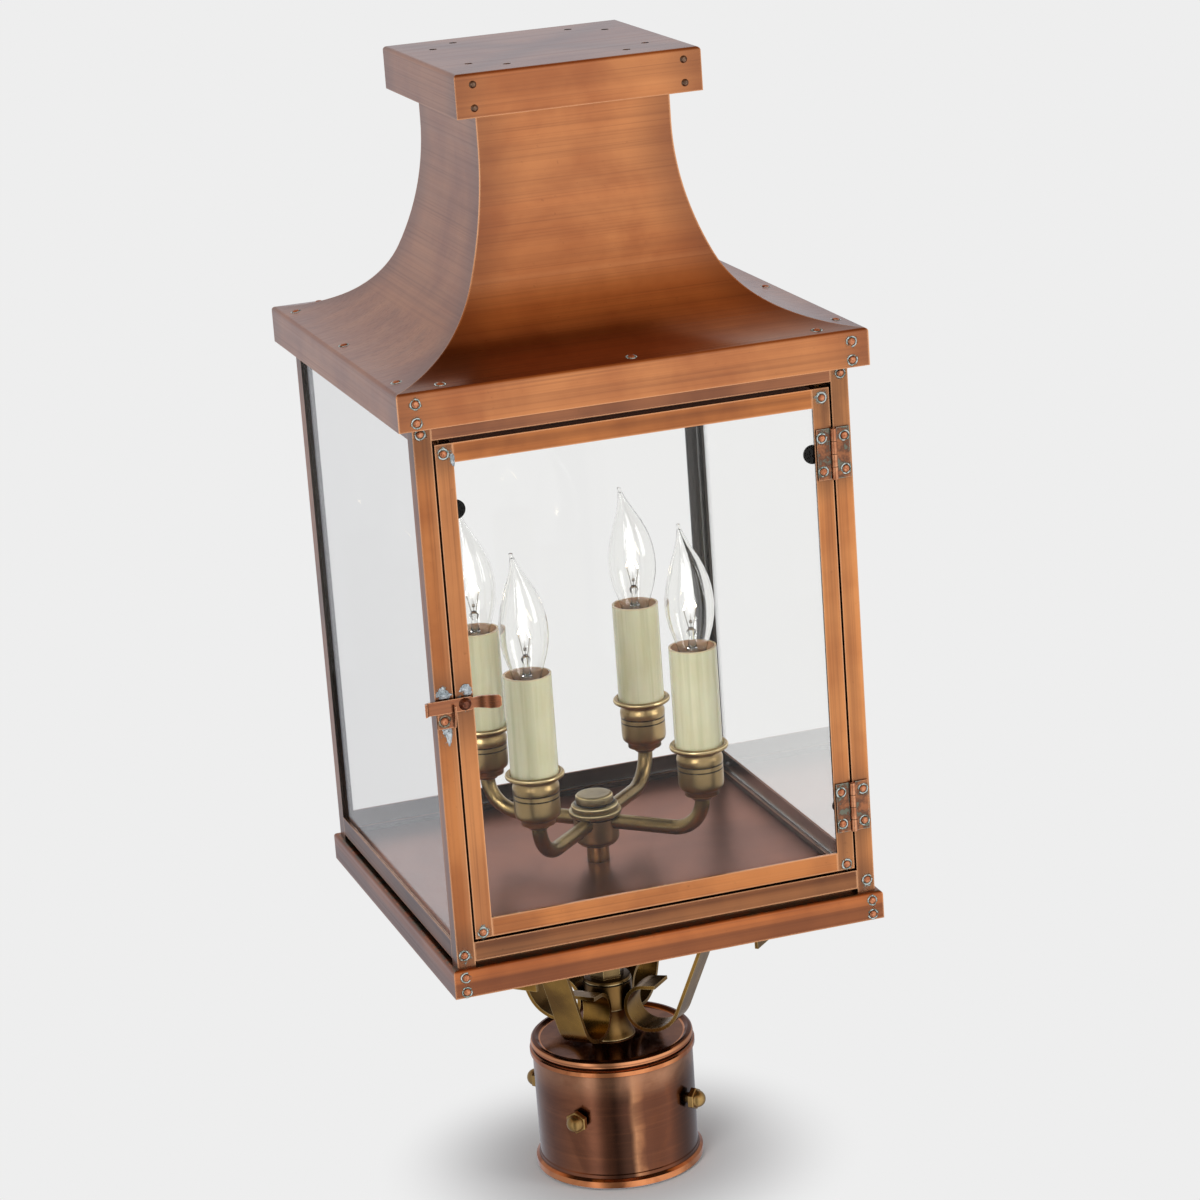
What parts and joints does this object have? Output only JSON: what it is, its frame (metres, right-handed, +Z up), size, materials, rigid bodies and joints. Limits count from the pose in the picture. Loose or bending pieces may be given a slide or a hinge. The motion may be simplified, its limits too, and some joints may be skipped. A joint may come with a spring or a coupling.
{
  "type": "post top lantern",
  "caption": "Square copper post top lantern with a flared roof, glass sides, a hinged latching door, a candle lamp cluster, scroll straps and a round post fitter.",
  "frame": {"origin": "centre of the post fitter's lower mouth", "axes": "+Z up, the door faces -Y, its hinges are on +X and its latch on -X"},
  "size_m": [0.25, 0.2518, 0.6261],
  "materials": {
    "brushed_copper": "brushed, lightly darkened",
    "shaded_copper": "brushed, darkened",
    "dark_copper": "brushed round the wall",
    "polished_brown": "polished",
    "rivet_copper": "tumbled",
    "aged_brass": "antiqued and brushed",
    "lamp_cap_brass": "bright",
    "candle_ivory": "glossy",
    "socket_black": "matte",
    "clip": "satin",
    "clear_pane": "clear float glass",
    "lamp_envelope": "clear blown glass"
  },
  "bodies": {
    "lantern": {"base_rivets": "rivet_copper", "base_tray": "brushed_copper", "body_rivets": "rivet_copper", "bottom_rails": "brushed_copper", "candle_cups": "aged_brass", "candle_sleeves": "candle_ivory", "cap_rivets": "rivet_copper", "cap_tray": "brushed_copper", "cluster_arms": "aged_brass", "cluster_hub": "aged_brass", "cluster_stem": "aged_brass", "corner_post_back_left": "shaded_copper", "corner_post_back_right": "shaded_copper", "corner_post_front_left": "brushed_copper", "corner_post_front_right": "brushed_copper", "coupling": "aged_brass", "fitter_cap": "polished_brown", "fitter_collar": "dark_copper", "floor_plate": "brushed_copper", "glass_back": "clear_pane", "glass_clips": "clip", "glass_left": "clear_pane", "glass_right": "clear_pane", "hinge_lower_post_leaf": "brushed_copper", "hinge_pins": "aged_brass", "hinge_post_rivets": "rivet_copper", "hinge_upper_post_leaf": "brushed_copper", "hub_cap": "aged_brass", "keeper_rivet": "rivet_copper", "lamp_bases": "lamp_cap_brass", "lamp_glass": "lamp_envelope", "lamp_sockets": "socket_black", "latch_keeper": "brushed_copper", "lock_nuts": "aged_brass", "roof_frame": "brushed_copper", "roof_rivets": "rivet_copper", "roof_sheet_back": "brushed_copper", "roof_sheet_front": "brushed_copper", "roof_sheet_left": "brushed_copper", "roof_sheet_right": "brushed_copper", "scroll_straps": "aged_brass", "threaded_nipple": "aged_brass", "top_rails": "brushed_copper"},
    "door": {"door_glass": "clear_pane", "door_glass_clips": "clip", "door_rail_bottom": "brushed_copper", "door_rail_top": "brushed_copper", "door_rivets": "rivet_copper", "door_stile_left": "brushed_copper", "door_stile_right": "brushed_copper", "hinge_door_rivets": "rivet_copper", "hinge_lower_door_leaf": "brushed_copper", "hinge_upper_door_leaf": "brushed_copper", "latch_rivet": "rivet_copper"},
    "latch": {"latch_bar": "brushed_copper"},
    "screw_front_left": {"set_screw_front_left": "aged_brass"},
    "screw_front_right": {"set_screw_front_right": "aged_brass"},
    "screw_back_right": {"set_screw_back_right": "aged_brass"},
    "screw_back_left": {"set_screw_back_left": "aged_brass"}
  },
  "joints": [
    {"name": "door_hinge", "type": "hinge", "parent": "lantern", "child": "door", "pos_m": [0.1058, -0.1177, 0.322], "axis": [0, 0, 1], "range_deg": [0, 170]},
    {"name": "latch_pivot", "type": "hinge", "parent": "door", "child": "latch", "pos_m": [-0.101, -0.118, 0.3182], "axis": [0, 1, 0], "range_deg": [0, 90]},
    {"name": "screw_front_left_travel", "type": "slide", "parent": "lantern", "child": "screw_front_left", "axis": [0.7071, 0.7071, 0], "range_m": [-0.002, 0.0022]},
    {"name": "screw_front_right_travel", "type": "slide", "parent": "lantern", "child": "screw_front_right", "axis": [-0.7071, 0.7071, 0], "range_m": [-0.002, 0.0022]},
    {"name": "screw_back_right_travel", "type": "slide", "parent": "lantern", "child": "screw_back_right", "axis": [-0.7071, -0.7071, 0], "range_m": [-0.002, 0.0022]},
    {"name": "screw_back_left_travel", "type": "slide", "parent": "lantern", "child": "screw_back_left", "axis": [0.7071, -0.7071, 0], "range_m": [-0.002, 0.0022]}
  ]
}
